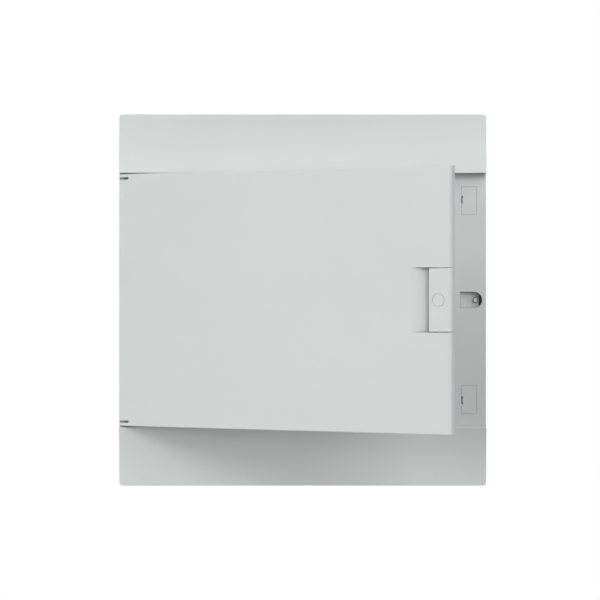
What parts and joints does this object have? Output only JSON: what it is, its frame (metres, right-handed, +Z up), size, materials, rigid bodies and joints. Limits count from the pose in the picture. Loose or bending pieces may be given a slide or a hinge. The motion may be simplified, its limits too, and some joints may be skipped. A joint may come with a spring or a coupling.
{
  "type": "residential load center",
  "caption": "Surface-mounted plastic distribution board with a side-hinged opaque door on a pull latch, DIN-rail breaker rows behind a slotted cover, and a deep back box.",
  "frame": {"origin": "centre of the back box's outer rear face, on the wall surface", "axes": "+Z up, +Y into the wall, -Y towards the user, +X to the right as the user sees it, door hinge on the -X side"},
  "size_m": [0.43, 0.3052, 0.435],
  "materials": {
    "cover": "fine-grained light grey ABS",
    "door": "fine-grained light grey ABS, a little smoother than the cover",
    "box": "light grey ABS, coarse grain",
    "device": "pale grey polyamide, semi-matt",
    "toggle_dark": "near-black polyamide",
    "toggle_blue": "blue polyamide",
    "button": "amber polyamide",
    "blank": "light grey ABS, matt",
    "zinc": "bright zinc plate",
    "steel": "drawn stainless",
    "brass": "drawn, lightly oxidised",
    "comb": "dark grey insulation",
    "card": "uncoated card, blank",
    "fastener": "pale grey nylon"
  },
  "bodies": {
    "board": {"front_cover": "cover", "back_box": "box", "din_rail_upper": "zinc", "din_rail_lower": "zinc", "chassis_upright_right": "box", "chassis_upright_left": "box", "gland_plate_top": "box", "gland_plate_bottom": "box", "terminal_carrier": "box", "neutral_bar": "brass", "earth_bar": "brass", "blanking_strip_upper": "blank", "blanking_strip_lower": "blank", "comb_busbar_upper": "comb", "comb_busbar_lower": "comb", "screw_cap_upper_right": "cover", "cover_screw_upper_right": "zinc", "rail_screw_upper_right": "zinc", "screw_cap_upper_left": "cover", "cover_screw_upper_left": "zinc", "rail_screw_upper_left": "zinc", "screw_cap_lower_right": "cover", "cover_screw_lower_right": "zinc", "rail_screw_lower_right": "zinc", "screw_cap_lower_left": "cover", "cover_screw_lower_left": "zinc", "rail_screw_lower_left": "zinc", "main_switch_housing": "device", "rcd_upper_housing": "device", "breaker_1_housing": "device", "breaker_2_housing": "device", "breaker_3_housing": "device", "breaker_4_housing": "device", "breaker_5_housing": "device", "rcd_lower_housing": "device", "breaker_6_housing": "device", "breaker_7_housing": "device", "breaker_8_housing": "device", "breaker_9_housing": "device"},
    "door": {"door": "door", "circuit_chart": "card", "handle_pivot_pin": "steel", "handle_spring": "steel"},
    "handle": {"door_handle": "door"},
    "lock_right": {"cover_lock_right": "fastener"},
    "lock_left": {"cover_lock_left": "fastener"},
    "main_switch_lever": {"main_switch_toggle": "toggle_dark"},
    "rcd_upper_lever": {"rcd_upper_toggle": "toggle_blue"},
    "rcd_upper_button": {"rcd_upper_test_button": "button"},
    "breaker_1_lever": {"breaker_1_toggle": "toggle_dark"},
    "breaker_2_lever": {"breaker_2_toggle": "toggle_dark"},
    "breaker_3_lever": {"breaker_3_toggle": "toggle_dark"},
    "breaker_4_lever": {"breaker_4_toggle": "toggle_dark"},
    "breaker_5_lever": {"breaker_5_toggle": "toggle_dark"},
    "rcd_lower_lever": {"rcd_lower_toggle": "toggle_blue"},
    "rcd_lower_button": {"rcd_lower_test_button": "button"},
    "breaker_6_lever": {"breaker_6_toggle": "toggle_dark"},
    "breaker_7_lever": {"breaker_7_toggle": "toggle_dark"},
    "breaker_8_lever": {"breaker_8_toggle": "toggle_dark"},
    "breaker_9_lever": {"breaker_9_toggle": "toggle_dark"}
  },
  "joints": [
    {"name": "door_hinge", "type": "hinge", "parent": "board", "child": "door", "pos_m": [-0.2115, -0.1022, 0], "axis": [0, 0, -1], "range_deg": [-28.3, 151.7]},
    {"name": "handle_pivot", "type": "hinge", "parent": "door", "child": "handle", "pos_m": [0.15908, -0.29924, 0], "axis": [0, 0, 1], "range_deg": [0, 15], "stiffness_Nm_per_rad": 0.01},
    {"name": "lock_turn_right", "type": "hinge", "parent": "board", "child": "lock_right", "pos_m": [0.2028, -0.09, 0], "axis": [0, -1, 0], "range_deg": [0, 90]},
    {"name": "lock_turn_left", "type": "hinge", "parent": "board", "child": "lock_left", "pos_m": [-0.2028, -0.09, 0], "axis": [0, -1, 0], "range_deg": [0, 90]},
    {"name": "main_switch_throw", "type": "hinge", "parent": "board", "child": "main_switch_lever", "pos_m": [-0.1225, -0.0845, 0.075], "axis": [1, 0, 0], "range_deg": [0, 80]},
    {"name": "rcd_upper_throw", "type": "hinge", "parent": "board", "child": "rcd_upper_lever", "pos_m": [-0.0525, -0.0845, 0.075], "axis": [1, 0, 0], "range_deg": [0, 80]},
    {"name": "rcd_upper_test", "type": "slide", "parent": "board", "child": "rcd_upper_button", "axis": [0, 1, 0], "range_m": [0, 0.0012], "stiffness_N_per_m": 20},
    {"name": "breaker_1_throw", "type": "hinge", "parent": "board", "child": "breaker_1_lever", "pos_m": [-0.00875, -0.0845, 0.075], "axis": [1, 0, 0], "range_deg": [0, 80]},
    {"name": "breaker_2_throw", "type": "hinge", "parent": "board", "child": "breaker_2_lever", "pos_m": [0.00875, -0.0845, 0.075], "axis": [1, 0, 0], "range_deg": [0, 80]},
    {"name": "breaker_3_throw", "type": "hinge", "parent": "board", "child": "breaker_3_lever", "pos_m": [0.02625, -0.0845, 0.075], "axis": [1, 0, 0], "range_deg": [0, 80]},
    {"name": "breaker_4_throw", "type": "hinge", "parent": "board", "child": "breaker_4_lever", "pos_m": [0.04375, -0.0845, 0.075], "axis": [1, 0, 0], "range_deg": [0, 80]},
    {"name": "breaker_5_throw", "type": "hinge", "parent": "board", "child": "breaker_5_lever", "pos_m": [0.07875, -0.0845, 0.075], "axis": [1, 0, 0], "range_deg": [0, 80]},
    {"name": "rcd_lower_throw", "type": "hinge", "parent": "board", "child": "rcd_lower_lever", "pos_m": [-0.1225, -0.0845, -0.075], "axis": [1, 0, 0], "range_deg": [0, 80]},
    {"name": "rcd_lower_test", "type": "slide", "parent": "board", "child": "rcd_lower_button", "axis": [0, 1, 0], "range_m": [0, 0.0012], "stiffness_N_per_m": 20},
    {"name": "breaker_6_throw", "type": "hinge", "parent": "board", "child": "breaker_6_lever", "pos_m": [-0.07875, -0.0845, -0.075], "axis": [1, 0, 0], "range_deg": [0, 80]},
    {"name": "breaker_7_throw", "type": "hinge", "parent": "board", "child": "breaker_7_lever", "pos_m": [-0.06125, -0.0845, -0.075], "axis": [1, 0, 0], "range_deg": [0, 80]},
    {"name": "breaker_8_throw", "type": "hinge", "parent": "board", "child": "breaker_8_lever", "pos_m": [-0.035, -0.0845, -0.075], "axis": [1, 0, 0], "range_deg": [0, 80]},
    {"name": "breaker_9_throw", "type": "hinge", "parent": "board", "child": "breaker_9_lever", "pos_m": [0.00875, -0.0845, -0.075], "axis": [1, 0, 0], "range_deg": [0, 80]}
  ]
}
